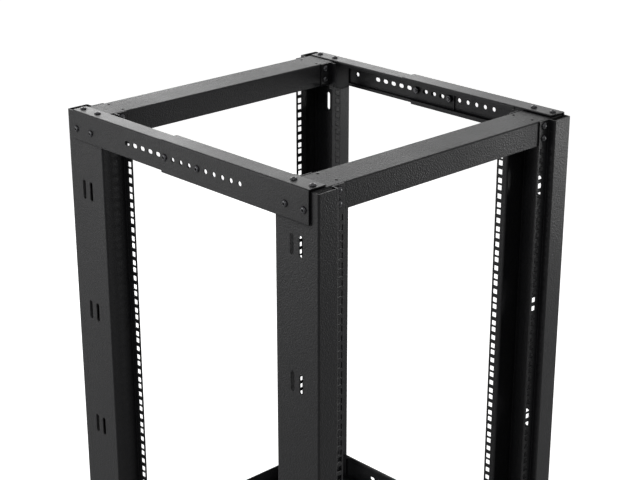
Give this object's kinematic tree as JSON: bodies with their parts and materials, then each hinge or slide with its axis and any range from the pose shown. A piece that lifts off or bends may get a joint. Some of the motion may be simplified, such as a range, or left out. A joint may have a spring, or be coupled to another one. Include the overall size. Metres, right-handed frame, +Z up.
{
  "type": "four post open frame rack",
  "caption": "Free-standing open steel frame of square-punched posts, channel beams and sliding side rails that holds 19 inch rack equipment.",
  "frame": {"origin": "on the floor, below the middle of the rack", "axes": "+X to the rack's right seen from the front, +Y to the rear, +Z up"},
  "size_m": [0.592, 0.615, 0.9294],
  "materials": {
    "post_coat": "satin black powder coat, fine texture",
    "beam_coat": "satin black powder coat, fine texture",
    "rail_coat": "satin black powder coat, fine texture",
    "fastener_steel": "black zinc",
    "foot_plastic": "moulded black plastic"
  },
  "bodies": {
    "root": {"base_beam_front": "beam_coat", "base_beam_rear": "beam_coat", "base_rail_bolts_left": "fastener_steel", "base_rail_bolts_right": "fastener_steel", "base_rail_front_left": "rail_coat", "base_rail_front_right": "rail_coat", "base_rail_nuts_left": "fastener_steel", "base_rail_nuts_right": "fastener_steel", "base_rail_rear_left": "rail_coat", "base_rail_rear_right": "rail_coat", "base_spacer_washers_left": "fastener_steel", "base_spacer_washers_right": "fastener_steel", "foot_nuts_front_left": "fastener_steel", "foot_nuts_front_right": "fastener_steel", "foot_nuts_rear_left": "fastener_steel", "foot_nuts_rear_right": "fastener_steel", "foot_pad_front_left": "foot_plastic", "foot_pad_front_right": "foot_plastic", "foot_pad_rear_left": "foot_plastic", "foot_pad_rear_right": "foot_plastic", "foot_stud_front_left": "fastener_steel", "foot_stud_front_right": "fastener_steel", "foot_stud_rear_left": "fastener_steel", "foot_stud_rear_right": "fastener_steel", "post_front_left": "post_coat", "post_front_right": "post_coat", "post_rear_left": "post_coat", "post_rear_right": "post_coat", "top_beam_front": "beam_coat", "top_beam_rear": "beam_coat", "top_rail_bolts_left": "fastener_steel", "top_rail_bolts_right": "fastener_steel", "top_rail_front_left": "rail_coat", "top_rail_front_right": "rail_coat", "top_rail_nuts_left": "fastener_steel", "top_rail_nuts_right": "fastener_steel", "top_rail_rear_left": "rail_coat", "top_rail_rear_right": "rail_coat", "top_spacer_washers_left": "fastener_steel", "top_spacer_washers_right": "fastener_steel"}
  },
  "joints": []
}
